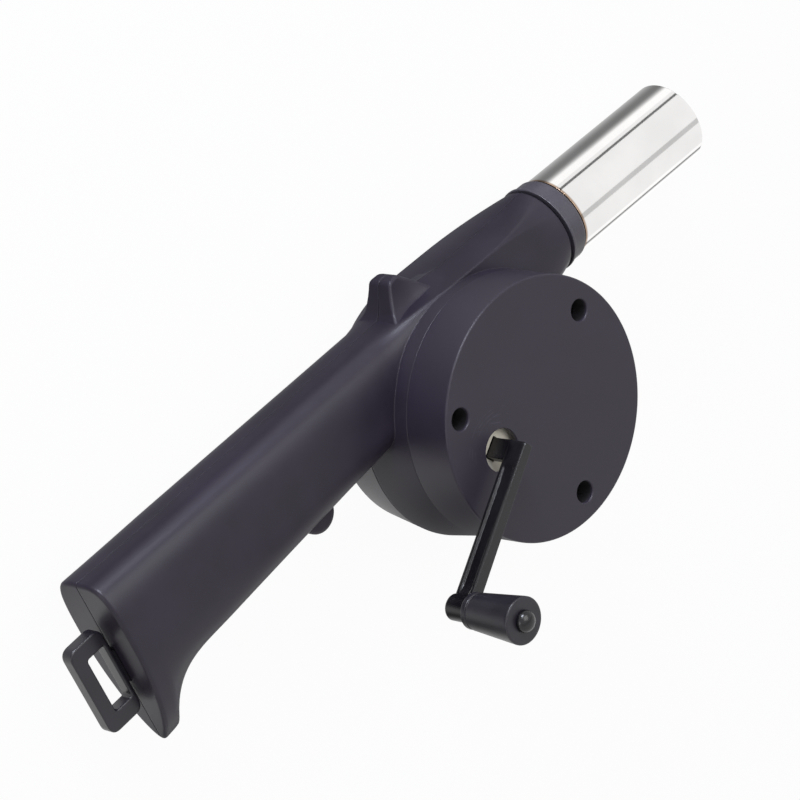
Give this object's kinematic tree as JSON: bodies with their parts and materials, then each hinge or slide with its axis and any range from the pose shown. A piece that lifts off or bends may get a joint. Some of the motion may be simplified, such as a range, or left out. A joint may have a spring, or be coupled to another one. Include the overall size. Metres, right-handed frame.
{
  "type": "manual air blower",
  "caption": "Hand-cranked air blower with a grip, a round fan drum, a neck, a steel nozzle tube, a crank with a turning knob and a hanging loop.",
  "frame": {"origin": "where the fan's axis meets the flat air-intake face on which the blower lies", "axes": "+X along the handle towards the nozzle, +Y towards the thumb rest, +Z along the fan shaft towards the crank"},
  "size_m": [0.2782, 0.0923, 0.0865],
  "materials": {
    "black_plastic": "satin black moulded ABS with a fine grain",
    "crank_plastic": "semi-gloss black moulded nylon",
    "cream_nylon": "natural cream nylon",
    "fan_plastic": "dark grey moulded plastic",
    "polished_steel": "mirror-polished stainless steel",
    "zinc_steel": "zinc-plated steel",
    "sintered_brass": "sintered brass"
  },
  "bodies": {
    "casing": {"intake_shell": "black_plastic", "drive_shell": "black_plastic", "gearbox_cover": "black_plastic", "nozzle_collar": "black_plastic", "nozzle_tube": "polished_steel", "hanging_loop": "crank_plastic", "idler_axle": "zinc_steel", "intake_bush": "sintered_brass", "deck_bush": "sintered_brass", "cover_screw_1": "zinc_steel", "cover_screw_2": "zinc_steel", "cover_screw_3": "zinc_steel", "shell_screw_1": "zinc_steel", "shell_screw_2": "zinc_steel", "shell_screw_3": "zinc_steel", "shell_screw_4": "zinc_steel", "shell_screw_5": "zinc_steel"},
    "crank_unit": {"crank": "crank_plastic", "crank_gear": "cream_nylon", "crank_screw": "zinc_steel"},
    "knob_grip": {"knob": "crank_plastic"},
    "idler_unit": {"idler_gear": "cream_nylon", "idler_washer": "cream_nylon"},
    "fan_unit": {"impeller": "fan_plastic", "fan_shaft": "zinc_steel", "fan_pinion": "cream_nylon", "fan_washer": "cream_nylon"}
  },
  "joints": [
    {"name": "crank_spin", "type": "hinge", "parent": "casing", "child": "crank_unit", "pos_m": [-0.0204, -0.0011, 0.05], "axis": [0, 0, 1], "continuous": true},
    {"name": "knob_spin", "type": "hinge", "parent": "crank_unit", "child": "knob_grip", "pos_m": [-0.06077, -0.02833, 0.0732], "axis": [0, 0, 1], "continuous": true},
    {"name": "idler_spin", "type": "hinge", "parent": "casing", "child": "idler_unit", "pos_m": [-0.0087, -0.0153, 0.038], "axis": [0, 0, 1], "continuous": true},
    {"name": "fan_spin", "type": "hinge", "parent": "casing", "child": "fan_unit", "pos_m": [0, 0, 0.02], "axis": [0, 0, 1], "continuous": true}
  ],
  "couplings": [
    {"joint": "idler_spin", "follows": "crank_spin", "ratio": -3.6},
    {"joint": "fan_spin", "follows": "crank_spin", "ratio": 12.24}
  ]
}
